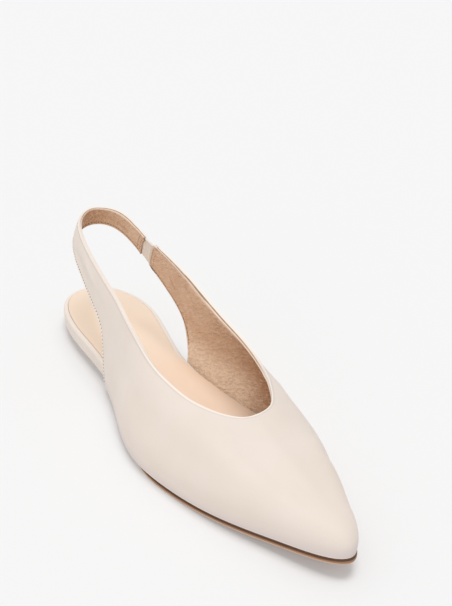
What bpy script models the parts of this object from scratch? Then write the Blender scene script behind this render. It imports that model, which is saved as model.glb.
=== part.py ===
"""A women's flat slingback pump for the right foot, as an assembly of closed solids.

Metres, +Z up, +X towards the toe, +Y towards the inner (medial) side of the foot. The origin is on
the floor under the middle of the shoe. The last is described by an outline, a feather line and a
ring of ribs, and every piece takes its size and place from the named sizes below.
"""

from collections import namedtuple

import bmesh
import bpy
import numpy as np

# Driving sizes
LENGTH = 0.265            # heel back to toe tip, along the sole
BALL_WIDTH = 0.076        # feather line across the ball
SEAT_WIDTH = 0.050        # feather line across the heel seat
INSTEP_RISE = 0.0365      # hem of the upper to the throat
COLLAR_RISE = 0.0565      # footbed at the heel to the top edge of the heel strap
TOE_SPRING = 0.0092       # lift of the sole's tip over the forepart
TIP_LEAN = 0.0018         # toe tip towards the inner side
SOLE_THICKNESS = 0.0030   # tan outsole at the forepart
WAIST_THICKNESS = 0.0024  # the same outsole where it runs on under waist and heel
BAND_HEIGHT = 0.0080      # covered side of the footbed that shows round the heel
LIFT_HEIGHT = 0.0030      # lift under the outsole at the heel
LIFT_LENGTH = 0.060       # heel lift, from the back to its breast
INSOLE_THICKNESS = 0.0019 # footbed at the forepart, inside the upper
SOCK_THICKNESS = 0.0008   # lining sheet on the footbed
RIM_WIDTH = 0.0028        # covered rim of the footbed beside the sock
RIM_ROUND = 0.0016        # rounding of that rim
WALL = 0.0018             # leather and lining of the upper together
BULGE = 0.0022            # how far the upper swells over the feather line
SEAT_STEP = 0.0013        # how far a wing stands outside the footbed at its back corner
STEP_RUN = 0.0260         # length over which that step dies away
FOOTBED_PLAY = 0.0010     # room between the footbed and the wall of the upper
HIDDEN_RIM = 0.0008       # what is left of the rim inside the upper
LIFT_MARGIN = 0.0003      # the heel lift sits in from the outsole
SOLE_INSET = 0.0050       # how far the outsole and lift sit in under waist and heel
SOLE_LIP = 0.0003         # how far the outsole stands out round the forepart
SOLE_BEVEL = 0.0005       # broken edges of outsole and lift
WALL_ROUND = 0.45         # how far a plain wall is bowed, 0 flat to 1 a quarter round
SHOULDER_POWER = 2.7      # squareness of the shoulder over the feather line
SLOPE_POWER = 1.1         # hollow of the slope from the shoulder to the throat
SWELL_TOP = 0.6           # share of a rib's height where the swell ends
ELASTIC_THICKNESS = 0.0012
ELASTIC_SHARE = 0.86      # width of the elastic over the width of the strap
ELASTIC_PLAY = 0.0005     # room between the elastic and the leather's ends
GAP = 0.0003              # clearance between neighbouring pieces

# Floor to the top of the covered footbed at the heel, and to its top at the forepart
HEEL_HEIGHT = LIFT_HEIGHT + GAP + WAIST_THICKNESS + GAP + BAND_HEIGHT
FOREPART_HEIGHT = SOLE_THICKNESS + GAP + INSOLE_THICKNESS

# Places along the sole, as shares of LENGTH: where a change of height or inset starts and ends
HEM_ARCH = (0.30, 0.54)       # hem and footbed's underside come down from the heel
FOOTBED_ARCH = (0.20, 0.62)   # top of the footbed comes down from the heel
SOLE_ARCH = (0.42, 0.54)      # outsole thickens into its forepart
SOLE_STEP = (0.48, 0.61)      # outsole comes out from under the waist
SPRING_START = 0.66           # forepart starts to rise to the toe
SPRING_POWER = 1.8            # how late that rise comes

# Places along the step at a wing's back corner, as shares of STEP_RUN behind the corner
COVER_RUN = (0.4, 0.1)        # footbed draws in to run inside the upper

# Number of points along the curves
OUTLINE_STEPS = 30        # stations along each side of the sole
RIB_STEPS = 13            # points up each rib of the upper
RIB_SPACING = 1.4         # 1 for even steps up a rib, more for closer steps at its foot
RING_STEPS = 3            # ribs from one named section to the next
RIM_STEPS = 4             # levels round the footbed's rim
ELASTIC_STEPS = 5         # points along and across the elastic
DENSE = 400               # samples of a smooth curve before it is divided
RIB_SAMPLES = 80          # samples of one rib's curve before it is divided
SHORT_RUN = 0.0005        # step along the feather line to measure its direction
LEAST_RUN = 0.0001        # smallest run that a rib is divided over
LEAST_REACH = 0.05        # smallest share of a rib's run that its shoulder takes
SHARP_ANGLE = 40.0        # degrees, edges shaded sharp
SAME_POINT = 1e-6         # points closer than this are one

# The lowest line of the upper: shares of LENGTH and of the width that the row follows
OutlineRow = namedtuple("OutlineRow", "name along lateral medial follows")
OUTLINE = [
    OutlineRow("heel curve", 0.030, 0.285, 0.335, "seat"),
    OutlineRow("seat", 0.150, 0.460, 0.535, "seat"),
    OutlineRow("waist back", 0.300, 0.490, 0.405, "seat"),
    OutlineRow("waist front", 0.420, 0.436, 0.275, "ball"),
    OutlineRow("outer ball", 0.550, 0.547, 0.368, "ball"),
    OutlineRow("inner ball", 0.660, 0.507, 0.466, "ball"),
    OutlineRow("toes", 0.780, 0.385, 0.382, "ball"),
    OutlineRow("toe side", 0.900, 0.204, 0.202, "ball"),
    OutlineRow("toe curve", 0.965, 0.100, 0.140, "ball"),
]

# Ribs of the upper that stand on the feather line, from the inner wing round the toe to the outer
# wing. foot and top are shares of LENGTH, top_side a share of BALL_WIDTH (+ is medial), instep and
# collar shares of the two rises. reach and rise shape the shoulder over the feather line as shares
# of the rib's run and height, wall says how much the rib is a plain wall, swell a share of BULGE.
FootRib = namedtuple("FootRib", "name foot side top top_side instep collar reach rise wall swell")
FOOT_RIBS = [
    FootRib("inner wing corner", 0.360, 1, 0.392, 0.308, 0.00, 0.726, 0.70, 0.90, 1.00, 0.35),
    FootRib("inner waist", 0.410, 1, 0.430, 0.314, 0.00, 0.678, 0.70, 0.90, 1.00, 0.45),
    FootRib("inner instep", 0.470, 1, 0.477, 0.320, 0.10, 0.579, 0.75, 0.92, 1.00, 0.60),
    FootRib("inner ball back", 0.545, 1, 0.536, 0.333, 0.30, 0.431, 0.80, 0.92, 0.90, 0.80),
    FootRib("inner ball", 0.620, 1, 0.592, 0.320, 0.55, 0.275, 0.85, 0.92, 0.75, 0.95),
    FootRib("inner joint", 0.690, 1, 0.645, 0.280, 0.78, 0.136, 0.80, 0.90, 0.50, 1.05),
    FootRib("inner throat", 0.755, 1, 0.684, 0.226, 0.92, 0.052, 0.58, 0.87, 0.20, 1.10),
    FootRib("inner toes", 0.830, 1, 0.707, 0.161, 0.98, 0.014, 0.32, 0.74, 0.00, 1.10),
    FootRib("inner toe", 0.905, 1, 0.716, 0.097, 1.00, 0.004, 0.18, 0.59, 0.00, 1.00),
    FootRib("inner tip", 0.968, 1, 0.718, 0.050, 1.00, 0.002, 0.15, 0.46, 0.00, 0.60),
    FootRib("tip", 1.000, 0, 0.718, 0.016, 1.00, 0.002, 0.14, 0.40, 0.00, 0.30),
    FootRib("outer tip", 0.968, -1, 0.717, -0.021, 1.00, 0.002, 0.18, 0.44, 0.00, 0.35),
    FootRib("outer toe", 0.905, -1, 0.711, -0.067, 1.00, 0.004, 0.28, 0.54, 0.00, 0.50),
    FootRib("outer toes", 0.830, -1, 0.697, -0.124, 0.98, 0.020, 0.45, 0.70, 0.00, 0.70),
    FootRib("outer throat", 0.755, -1, 0.672, -0.184, 0.92, 0.056, 0.68, 0.84, 0.20, 0.90),
    FootRib("outer joint", 0.685, -1, 0.628, -0.250, 0.78, 0.136, 0.85, 0.90, 0.50, 1.00),
    FootRib("outer ball", 0.610, -1, 0.574, -0.289, 0.55, 0.280, 0.85, 0.92, 0.75, 1.00),
    FootRib("outer ball back", 0.530, -1, 0.521, -0.304, 0.30, 0.435, 0.80, 0.92, 0.90, 0.90),
    FootRib("outer instep", 0.455, -1, 0.470, -0.293, 0.10, 0.579, 0.75, 0.92, 1.00, 0.70),
    FootRib("outer waist", 0.390, -1, 0.424, -0.278, 0.00, 0.676, 0.70, 0.90, 1.00, 0.50),
    FootRib("outer wing corner", 0.328, -1, 0.383, -0.263, 0.00, 0.729, 0.70, 0.90, 1.00, 0.35),
]

# Ribs whose lower end is the free edge of a wing or of the strap. low and top are shares of LENGTH,
# the sides shares of SEAT_WIDTH, low_rise and top_rise shares of COLLAR_RISE over the heel seat.
FreeRib = namedtuple("FreeRib", "name low low_side low_rise top top_side top_rise")
INNER_WING_RIBS = [
    FreeRib("inner wing end", 0.209, 0.418, 0.635, 0.238, 0.413, 0.908),
    FreeRib("inner wing neck", 0.252, 0.435, 0.549, 0.275, 0.432, 0.871),
    FreeRib("inner wing sweep", 0.298, 0.439, 0.464, 0.312, 0.445, 0.834),
    FreeRib("inner wing turn", 0.332, 0.436, 0.381, 0.340, 0.458, 0.795),
    FreeRib("inner wing back", 0.353, 0.430, 0.250, 0.364, 0.464, 0.765),
]
STRAP_RIBS = [
    FreeRib("outer wing back", 0.319, -0.505, 0.195, 0.347, -0.374, 0.779),
    FreeRib("outer wing rise", 0.309, -0.480, 0.354, 0.316, -0.363, 0.821),
    FreeRib("outer wing turn", 0.289, -0.458, 0.451, 0.285, -0.353, 0.857),
    FreeRib("outer strap root", 0.240, -0.424, 0.554, 0.245, -0.334, 0.899),
    FreeRib("outer strap", 0.196, -0.388, 0.634, 0.200, -0.302, 0.938),
    FreeRib("outer strap back", 0.143, -0.336, 0.719, 0.148, -0.245, 0.972),
    FreeRib("strap turn", 0.092, -0.236, 0.784, 0.097, -0.152, 0.996),
    FreeRib("strap corner", 0.057, -0.078, 0.819, 0.065, -0.030, 1.009),
    FreeRib("strap back", 0.047, 0.096, 0.828, 0.051, 0.114, 1.012),
    FreeRib("strap far corner", 0.061, 0.252, 0.823, 0.069, 0.268, 1.009),
    FreeRib("strap far side", 0.097, 0.342, 0.807, 0.107, 0.359, 0.995),
    FreeRib("inner strap", 0.140, 0.375, 0.770, 0.153, 0.386, 0.970),
    FreeRib("inner strap end", 0.182, 0.386, 0.722, 0.205, 0.391, 0.931),
]

# Shape of a rib without a shoulder, and of the free ribs beside a wing's back corner
RibShape = namedtuple("RibShape", "reach rise wall swell")
PLAIN_SHAPE = RibShape(0.0, 0.0, 1.0, 0.0)
CORNER_SHAPE = RibShape(0.35, 0.45, 1.0, 0.2)

CREAM = (0.81, 0.70, 0.62, 1.0)
TAN = (0.55, 0.34, 0.20, 1.0)
SOCK_TAN = (0.84, 0.66, 0.52, 1.0)
WHITE = (0.86, 0.80, 0.74, 1.0)


def smoothstep(x, start, end):
    t = np.clip((np.asarray(x, float) - start) / (end - start), 0.0, 1.0)
    return t * t * (3.0 - 2.0 * t)


def along_sole(x, places):
    """Smooth step from 0 to 1 between two places given as shares of LENGTH."""
    return smoothstep(x, places[0] * LENGTH, places[1] * LENGTH)


def spline(knots, values, at, closed=False):
    """Cubic spline through rows of values, natural at its ends or closed on itself."""
    knots = np.asarray(knots, float)
    values = np.asarray(values, float).reshape(len(knots), -1)
    step = np.diff(knots)
    slope = np.diff(values, axis=0) / step[:, None]
    count = len(knots)
    system = np.eye(count)
    right = np.zeros_like(values)
    for i in range(1, count - 1):
        system[i, i - 1:i + 2] = (step[i - 1], 2.0 * (step[i - 1] + step[i]), step[i])
        right[i] = 6.0 * (slope[i] - slope[i - 1])
    if closed:
        system[0] = 0.0
        system[0, 0] = 2.0 * (step[0] + step[-1])
        system[0, 1] += step[0]
        system[0, -2] += step[-1]
        right[0] = 6.0 * (slope[0] - slope[-1])
        system[-1] = 0.0
        system[-1, 0] = 1.0
        system[-1, -1] = -1.0
    bend = np.linalg.solve(system, right)
    at = np.asarray(at, float)
    i = np.clip(np.searchsorted(knots, at, side="right") - 1, 0, count - 2)
    before = (at - knots[i])[:, None]
    after = (knots[i + 1] - at)[:, None]
    width = step[i][:, None]
    cubic = bend[i] * after ** 3 + bend[i + 1] * before ** 3
    left = values[i] / width - bend[i] * width / 6.0
    far = values[i + 1] / width - bend[i + 1] * width / 6.0
    return cubic / (6.0 * width) + left * after + far * before


def chord_knots(points, power=0.5):
    legs = np.linalg.norm(np.diff(np.asarray(points, float), axis=0), axis=1) ** power
    return np.concatenate([[0.0], np.cumsum(legs)])


def arc_lengths(points):
    return chord_knots(points, 1.0)


def row_width(row):
    return SEAT_WIDTH if row.follows == "seat" else BALL_WIDTH


def sole_outline():
    """Dense closed curve of the feather line, from the heel back over the lateral side."""
    lateral = [(row.along * LENGTH, -row.lateral * row_width(row)) for row in OUTLINE]
    medial = [(row.along * LENGTH, row.medial * row_width(row)) for row in reversed(OUTLINE)]
    points = np.array([(0.0, 0.0)] + lateral + [(LENGTH, TIP_LEAN)] + medial + [(0.0, 0.0)])
    knots = chord_knots(points)
    return spline(knots, points, np.linspace(0.0, knots[-1], 2 * DENSE + 1), closed=True)


FEATHER = sole_outline()
TIP = int(np.argmax(FEATHER[:, 0]))
BACK = int(np.argmin(FEATHER[:-1, 0]))


def side_curve(side):
    """The feather line of one side, from the heel back to the toe tip."""
    count = len(FEATHER) - 1
    if side < 0:
        index = np.arange(BACK, BACK + (TIP - BACK) % count + 1) % count
    else:
        index = np.arange(BACK, BACK - (BACK - TIP) % count - 1, -1) % count
    return FEATHER[index]


SIDE = {-1: side_curve(-1), 1: side_curve(1)}


def toe_rise(x):
    """How far the forepart has risen from the floor."""
    share = (np.asarray(x, float) / LENGTH - SPRING_START) / (1.0 - SPRING_START)
    return TOE_SPRING * np.clip(share, 0.0, 1.0) ** SPRING_POWER


def hem_height(x):
    """Underside of the footbed and hem of the upper, over the floor."""
    heel = HEEL_HEIGHT - BAND_HEIGHT
    forepart = SOLE_THICKNESS + GAP
    return heel + (forepart - heel) * along_sole(x, HEM_ARCH) + toe_rise(x)


def footbed_height(x):
    """Top of the covered footbed, over the floor."""
    drop = HEEL_HEIGHT - FOREPART_HEIGHT
    return HEEL_HEIGHT - drop * along_sole(x, FOOTBED_ARCH) + toe_rise(x)


def new_object(name, bm, colour, roughness):
    """Make one closed piece with its own material."""
    bmesh.ops.remove_doubles(bm, verts=bm.verts, dist=SAME_POINT)
    bmesh.ops.recalc_face_normals(bm, faces=bm.faces)
    mesh = bpy.data.meshes.new(name)
    bm.to_mesh(mesh)
    bm.free()
    mesh.shade_smooth()
    mesh.set_sharp_from_angle(angle=np.radians(SHARP_ANGLE))
    material = bpy.data.materials.new(name)
    material.use_nodes = True
    shader = material.node_tree.nodes["Principled BSDF"]
    shader.inputs["Base Color"].default_value = colour
    shader.inputs["Roughness"].default_value = roughness
    shader.inputs["Metallic"].default_value = 0.0
    mesh.materials.append(material)
    piece = bpy.data.objects.new(name, mesh)
    bpy.context.scene.collection.objects.link(piece)
    return piece


def wing_corner(side):
    """Where the back edge of a wing meets the footbed, along the sole."""
    return LENGTH * (FOOT_RIBS[0] if side > 0 else FOOT_RIBS[-1]).foot


def wing_stand(x, side):
    """How far the hem stands outside the feather line: a step at the wing's back corner."""
    corner = wing_corner(side)
    return SEAT_STEP * (1.0 - smoothstep(x, corner, corner + STEP_RUN))


def footbed_inset(x, side):
    """How far the footbed sits inside the feather line: none at the heel, a wall at the front."""
    corner = wing_corner(side)
    covered = smoothstep(x, corner - COVER_RUN[0] * STEP_RUN, corner - COVER_RUN[1] * STEP_RUN)
    return covered * (WALL + FOOTBED_PLAY - wing_stand(x, side))


def rim_share(x, side):
    """1 where the footbed's rim shows round the heel, 0 where the upper covers it."""
    corner = wing_corner(side)
    return 1.0 - smoothstep(x, corner, corner + STEP_RUN)


def sock_inset(x, side):
    rim = HIDDEN_RIM + (RIM_WIDTH - HIDDEN_RIM) * rim_share(x, side)
    return footbed_inset(x, side) + rim


def sole_inset(x, side):
    """How far the outsole sits inside the feather line: under at waist and heel, proud in front."""
    return SOLE_INSET - (SOLE_INSET + SOLE_LIP) * along_sole(x, SOLE_STEP)


def sole_bottom(x):
    """Tread of the outsole: flat on the floor under the ball, an arch behind, spring before."""
    thickening = (SOLE_THICKNESS - WAIST_THICKNESS) * along_sole(x, SOLE_ARCH)
    return hem_height(x) - GAP - WAIST_THICKNESS - thickening


def offset_side(side, inset, end):
    """One side of the feather line moved inwards, at stations from the heel back to end."""
    curve = SIDE[side]
    run = np.gradient(curve, axis=0)
    run[0] = (0.0, side)
    run[-1] = (0.0, -side)
    run /= np.linalg.norm(run, axis=1)[:, None]
    inward = side * np.stack([run[:, 1], -run[:, 0]], axis=1)
    moved = curve + inward * inset(curve[:, 0], side)[:, None]
    whole = end >= LENGTH
    first = moved[0, 0]
    last = moved[-1, 0] if whole else end
    turn = np.pi if whole else 0.5 * np.pi
    angle = np.linspace(0.0, turn, OUTLINE_STEPS + 1)
    stations = first + (last - first) * (1.0 - np.cos(angle)) / (1.0 - np.cos(turn))
    order = np.argsort(moved[:, 0], kind="stable")
    side_way = np.interp(stations, moved[order, 0], moved[order, 1])
    return np.stack([stations, side_way], axis=1)


def sole_loop(inset, height, end=LENGTH):
    """Points of one level of a sole piece: its lateral and its medial side, back to front."""
    sides = []
    for side in (-1, 1):
        plan = offset_side(side, inset, end)
        sides.append(np.column_stack([plan, height(plan[:, 0])]))
    lateral, medial = sides
    middle = 0.5 * (lateral + medial)
    lateral[0] = medial[0] = middle[0]
    if end >= LENGTH:
        lateral[-1] = medial[-1] = middle[-1]
    return lateral, medial


def stacked_piece(name, loops, colour, roughness):
    """A closed piece from levels of one outline, bottom first, filled across at both faces."""
    bm = bmesh.new()
    rows = [[[bm.verts.new(point) for point in side] for side in loop] for loop in loops]

    def face(*corners):
        kept = []
        for corner in corners:
            if all((corner.co - other.co).length > SAME_POINT for other in kept):
                kept.append(corner)
        if len(kept) > 2:
            bm.faces.new(kept)

    last = len(rows[0][0]) - 1
    for lower, upper in zip(rows, rows[1:]):
        for low, high in zip(lower, upper):
            for i in range(last):
                face(low[i], low[i + 1], high[i + 1], high[i])
        face(lower[0][last], lower[1][last], upper[1][last], upper[0][last])
    for lateral, medial in (rows[0], rows[-1]):
        for i in range(last):
            face(lateral[i], lateral[i + 1], medial[i + 1], medial[i])
    return new_object(name, bm, colour, roughness)


def build_outsole():
    def top(x):
        return hem_height(x) - GAP

    def deeper(x, side):
        return sole_inset(x, side) + SOLE_BEVEL

    loops = [
        sole_loop(deeper, sole_bottom),
        sole_loop(sole_inset, lambda x: sole_bottom(x) + SOLE_BEVEL),
        sole_loop(sole_inset, top),
    ]
    return stacked_piece("outsole", loops, TAN, 0.55)


def build_heel_lift():
    def inset(x, side):
        return sole_inset(x, side) + LIFT_MARGIN

    def top(x):
        return sole_bottom(x) - GAP

    loops = [
        sole_loop(lambda x, side: inset(x, side) + SOLE_BEVEL, lambda x: 0.0 * x, LIFT_LENGTH),
        sole_loop(inset, lambda x: SOLE_BEVEL + 0.0 * x, LIFT_LENGTH),
        sole_loop(inset, top, LIFT_LENGTH),
    ]
    return stacked_piece("heel_lift", loops, TAN, 0.6)


def build_footbed():
    """The covered board under the foot, with a rounded rim and a shallow bed for the sock."""
    def rounding(x, side):
        return HIDDEN_RIM * 0.5 + (RIM_ROUND - HIDDEN_RIM * 0.5) * rim_share(x, side)

    def level(turn):
        def inset(x, side):
            return footbed_inset(x, side) + rounding(x, side) * (1.0 - np.cos(turn))
        return inset

    def drop(turn):
        def height(x):
            return footbed_height(x) - rounding(x, 1) * (1.0 - np.sin(turn))
        return height

    loops = [sole_loop(footbed_inset, hem_height)]
    loops += [sole_loop(level(turn), drop(turn)) for turn in np.linspace(0.0, np.pi / 2.0, RIM_STEPS)]
    loops.append(sole_loop(sock_inset, footbed_height))
    loops.append(sole_loop(sock_inset, lambda x: footbed_height(x) - SOCK_THICKNESS))
    return stacked_piece("footbed", loops, CREAM, 0.45)


def build_sock():
    """The lining sheet that lies in the footbed's bed."""
    def inset(x, side):
        return sock_inset(x, side) + GAP

    loops = [
        sole_loop(inset, lambda x: footbed_height(x) - SOCK_THICKNESS + GAP),
        sole_loop(inset, lambda x: footbed_height(x) + GAP),
    ]
    return stacked_piece("sock", loops, SOCK_TAN, 0.6)


def feather_arc(rib):
    """Place of a rib's foot as a length along the feather line, zero at the tip, medial +."""
    if rib.side == 0:
        return 0.0
    curve = SIDE[rib.side]
    along = arc_lengths(curve)
    order = np.argsort(curve[:, 0], kind="stable")
    place = np.interp(rib.foot * LENGTH, curve[order, 0], along[order])
    return rib.side * (along[-1] - place)


def feather_points(arcs):
    """Hem points at lengths along the feather line, standing outside it at the wing corners."""
    points = []
    for arc in arcs:
        side = 1 if arc > 0.0 else -1
        curve = SIDE[side]
        along = arc_lengths(curve)
        place = along[-1] - abs(arc)
        here = np.array([np.interp(place, along, curve[:, k]) for k in (0, 1)])
        ahead = np.array([np.interp(place + SHORT_RUN, along, curve[:, k]) for k in (0, 1)])
        behind = np.array([np.interp(place - SHORT_RUN, along, curve[:, k]) for k in (0, 1)])
        run = (ahead - behind) / np.linalg.norm(ahead - behind)
        outward = side * np.array([-run[1], run[0]])
        here = here + outward * wing_stand(here[0], side)
        points.append((here[0], here[1], hem_height(here[0])))
    return np.array(points)


def free_low(rib):
    rise = HEEL_HEIGHT + rib.low_rise * COLLAR_RISE
    return (rib.low * LENGTH, rib.low_side * SEAT_WIDTH, rise)


def free_top(rib):
    rise = HEEL_HEIGHT + rib.top_rise * COLLAR_RISE
    return (rib.top * LENGTH, rib.top_side * SEAT_WIDTH, rise)


def foot_top(rib):
    """Top of a rib over the feather line: instep rise at the throat, collar rise at the wings."""
    x = rib.top * LENGTH
    base = HEEL_HEIGHT + rib.instep * (SOLE_THICKNESS + GAP - HEEL_HEIGHT)
    rise = base + rib.instep * INSTEP_RISE + rib.collar * COLLAR_RISE
    return (x, rib.top_side * BALL_WIDTH, rise)


def upper_ribs():
    """Lower ends, upper ends and shape values of all ribs, from the inner wing's end round."""
    inner, outer = len(INNER_WING_RIBS), len(STRAP_RIBS)
    tops = [free_top(r) for r in INNER_WING_RIBS]
    tops += [foot_top(r) for r in FOOT_RIBS]
    tops += [free_top(r) for r in STRAP_RIBS]
    arcs = np.array([feather_arc(r) for r in FOOT_RIBS])
    feet = feather_points(arcs)
    inner_low = np.array([free_low(r) for r in INNER_WING_RIBS] + [feet[0]])
    outer_low = np.array([feet[-1]] + [free_low(r) for r in STRAP_RIBS])
    lows = np.concatenate([inner_low[:-1], feet, outer_low[1:]])
    legs = np.linalg.norm(np.diff(np.array(tops), axis=0), axis=1)
    legs += np.linalg.norm(np.diff(lows, axis=0), axis=1)
    knots = np.concatenate([[0.0], np.cumsum(np.sqrt(legs))])
    at = np.concatenate([np.linspace(a, b, RING_STEPS, endpoint=False)
                         for a, b in zip(knots, knots[1:])] + [[knots[-1]]])
    split_in, split_out = knots[inner], knots[inner + len(FOOT_RIBS) - 1]
    low = np.zeros((len(at), 3))
    back = at < split_in
    strap = at > split_out
    foot = ~(back | strap)
    low[back] = spline(knots[:inner + 1], inner_low, at[back])
    low[strap] = spline(knots[-outer - 1:], outer_low, at[strap])
    low[foot] = feather_points(spline(knots[inner:-outer], arcs, at[foot])[:, 0])
    values = [PLAIN_SHAPE] * (inner - 1) + [CORNER_SHAPE]
    values += [(r.reach, r.rise, r.wall, r.swell) for r in FOOT_RIBS]
    values += [CORNER_SHAPE] + [PLAIN_SHAPE] * (outer - 1)
    shape = np.clip(spline(knots, values, at), 0.0, [1.0, 1.0, 1.0, 2.0])
    return low, spline(knots, tops, at), shape


def divided(path):
    """A planar path divided into RIB_STEPS points, closer together near the feather line."""
    along = arc_lengths(path)
    at = along[-1] * np.linspace(0.0, 1.0, RIB_STEPS) ** RIB_SPACING
    return np.stack([np.interp(at, along, path[:, k]) for k in (0, 1)], axis=1)


def rib_profile(run, height, reach, rise, wall):
    """Shares of run and height up one rib: a rounded shoulder, then a slope to the top."""
    t = np.linspace(0.0, 1.0, RIB_SAMPLES)
    turn = 0.5 * np.pi * t
    plain = np.stack([(1.0 - WALL_ROUND) * t + WALL_ROUND * (1.0 - np.cos(turn)),
                      (1.0 - WALL_ROUND) * t + WALL_ROUND * np.sin(turn)], axis=1)
    scale = np.array([max(run, LEAST_RUN), height])
    plain = divided(plain * scale) / scale
    if wall >= 1.0:
        return plain
    d = t ** 2
    part = np.clip(d / reach, 0.0, 1.0)
    shoulder = (1.0 - (1.0 - part) ** SHOULDER_POWER) ** (1.0 / SHOULDER_POWER)
    domed = np.stack([d, rise * shoulder + (1.0 - rise) * d ** SLOPE_POWER], axis=1)
    domed = divided(domed * scale) / scale
    return (1.0 - wall) * domed + wall * plain


def grid_normals(grid):
    """Outward normals of a grid of points (ribs by steps)."""
    across = np.gradient(grid, axis=0)
    up = np.gradient(grid, axis=1)
    normal = np.cross(up, across)
    return normal / np.linalg.norm(normal, axis=2)[:, :, None]


def upper_surfaces():
    """Outer and inner surface of the upper as two grids of points."""
    low, top, shape = upper_ribs()
    outer = np.zeros((len(low), RIB_STEPS, 3))
    for i, (reach, rise, wall, swell) in enumerate(shape):
        span = top[i] - low[i]
        run = np.hypot(span[0], span[1])
        profile = rib_profile(run, span[2], max(reach, LEAST_REACH), rise, wall)
        outer[i, :, :2] = low[i, :2] + profile[:, :1] * span[:2]
        outer[i, :, 2] = low[i, 2] + profile[:, 1] * span[2]
    level = grid_normals(outer)
    level[:, :, 2] = 0.0
    level /= np.maximum(np.linalg.norm(level, axis=2), SAME_POINT)[:, :, None]
    share = (outer[:, :, 2] - low[:, None, 2]) / (top[:, None, 2] - low[:, None, 2])
    swelling = np.sin(np.pi * np.clip(share / SWELL_TOP, 0.0, 1.0)) * shape[:, None, 3] * BULGE
    outer = outer + level * swelling[:, :, None]
    inward = -grid_normals(outer)
    inward[:, 0, 2] = 0.0
    inward[:, 0] /= np.linalg.norm(inward[:, 0], axis=1)[:, None]
    return outer, outer + inward * WALL


def grid_faces(bm, outer, inner):
    """Close two matching grids of vertices into one shell."""
    count, steps = len(outer), len(outer[0])
    for i in range(count - 1):
        for k in range(steps - 1):
            bm.faces.new((outer[i][k], outer[i + 1][k], outer[i + 1][k + 1], outer[i][k + 1]))
            bm.faces.new((inner[i][k], inner[i][k + 1], inner[i + 1][k + 1], inner[i + 1][k]))
        for k in (0, steps - 1):
            bm.faces.new((outer[i][k], outer[i + 1][k], inner[i + 1][k], inner[i][k]))
    for i in (0, count - 1):
        for k in range(steps - 1):
            bm.faces.new((outer[i][k], outer[i][k + 1], inner[i][k + 1], inner[i][k]))


def build_upper():
    """Vamp, both wings and the heel strap: one open shell with a real wall."""
    outer, inner = upper_surfaces()
    bm = bmesh.new()
    skins = [[[bm.verts.new(point) for point in rib] for rib in skin] for skin in (outer, inner)]
    grid_faces(bm, *skins)
    return new_object("upper", bm, CREAM, 0.42)


def narrowed(rib):
    """The middle ELASTIC_SHARE of a rib's points, divided evenly."""
    edge = 0.5 * (1.0 - ELASTIC_SHARE) * (RIB_STEPS - 1)
    at = np.linspace(edge, RIB_STEPS - 1 - edge, ELASTIC_STEPS)
    return np.stack([np.interp(at, range(RIB_STEPS), rib[:, k]) for k in range(3)], axis=1)


def build_elastic():
    """The short elastic that joins the strap's end to the inner wing."""
    outer, inner = upper_surfaces()
    middle = 0.5 * (outer + inner)
    through = (outer - inner) / WALL * 0.5 * ELASTIC_THICKNESS
    strap, wing = narrowed(middle[-1]), narrowed(middle[0])
    face = 0.5 * (narrowed(through[-1]) + narrowed(through[0]))
    clear = ELASTIC_PLAY / np.linalg.norm(wing[ELASTIC_STEPS // 2] - strap[ELASTIC_STEPS // 2])
    bm = bmesh.new()
    skins = []
    for side in (1.0, -1.0):
        shares = np.linspace(clear, 1.0 - clear, ELASTIC_STEPS)
        rows = [(1.0 - t) * strap + t * wing + side * face for t in shares]
        skins.append([[bm.verts.new(point) for point in row] for row in rows])
    grid_faces(bm, *skins)
    return new_object("elastic", bm, WHITE, 0.8)


def set_on_origin(pieces):
    """Move all pieces so that the middle of the shoe's box is over the origin, on the floor."""
    corners = np.array([vertex.co[:] for piece in pieces for vertex in piece.data.vertices])
    low, high = corners.min(axis=0), corners.max(axis=0)
    middle = 0.5 * (low + high)
    for piece in pieces:
        for vertex in piece.data.vertices:
            vertex.co.x -= middle[0]
            vertex.co.y -= middle[1]


def main():
    for old in list(bpy.data.objects):
        bpy.data.objects.remove(old)
    pieces = [build_outsole(), build_heel_lift(), build_footbed(), build_sock()]
    pieces += [build_upper(), build_elastic()]
    set_on_origin(pieces)


main()
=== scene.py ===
"""The looks of a cream slingback pump for the right foot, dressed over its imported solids.

Everything is in metres in the frame of the part: +X to the toe, +Y to the inner side of the foot,
+Z up, the floor at zero.
"""

import math
from collections import namedtuple

import bmesh
import bpy
import numpy as np
from mathutils import Matrix, Vector
from mathutils.bvhtree import BVHTree
from mathutils.kdtree import KDTree


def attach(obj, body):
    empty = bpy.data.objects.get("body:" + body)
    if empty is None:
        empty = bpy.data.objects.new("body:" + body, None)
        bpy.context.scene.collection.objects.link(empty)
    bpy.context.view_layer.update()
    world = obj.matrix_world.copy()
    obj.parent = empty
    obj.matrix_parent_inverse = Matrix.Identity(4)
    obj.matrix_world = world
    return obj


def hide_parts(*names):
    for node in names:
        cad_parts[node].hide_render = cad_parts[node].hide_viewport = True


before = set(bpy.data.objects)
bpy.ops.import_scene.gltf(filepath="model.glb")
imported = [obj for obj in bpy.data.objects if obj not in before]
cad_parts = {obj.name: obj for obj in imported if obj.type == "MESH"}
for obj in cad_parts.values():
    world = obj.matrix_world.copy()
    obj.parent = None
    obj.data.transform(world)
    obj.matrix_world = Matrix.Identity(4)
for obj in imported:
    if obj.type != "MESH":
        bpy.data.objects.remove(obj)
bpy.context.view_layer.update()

MM = 0.001
MERGE = 0.02 * MM          # the solids' loose triangles meet within this
FOLD_ANGLE = 50.0          # degrees between the skins of the upper and its cut edges
SOLE_FOLD_ANGLE = 35.0     # and between the faces of a sole and its edge
MARK_STEP = 0.2 * MM       # between the marks on a line that distances are taken from


# Sizes of the upper's edges, lining and stitches

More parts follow.
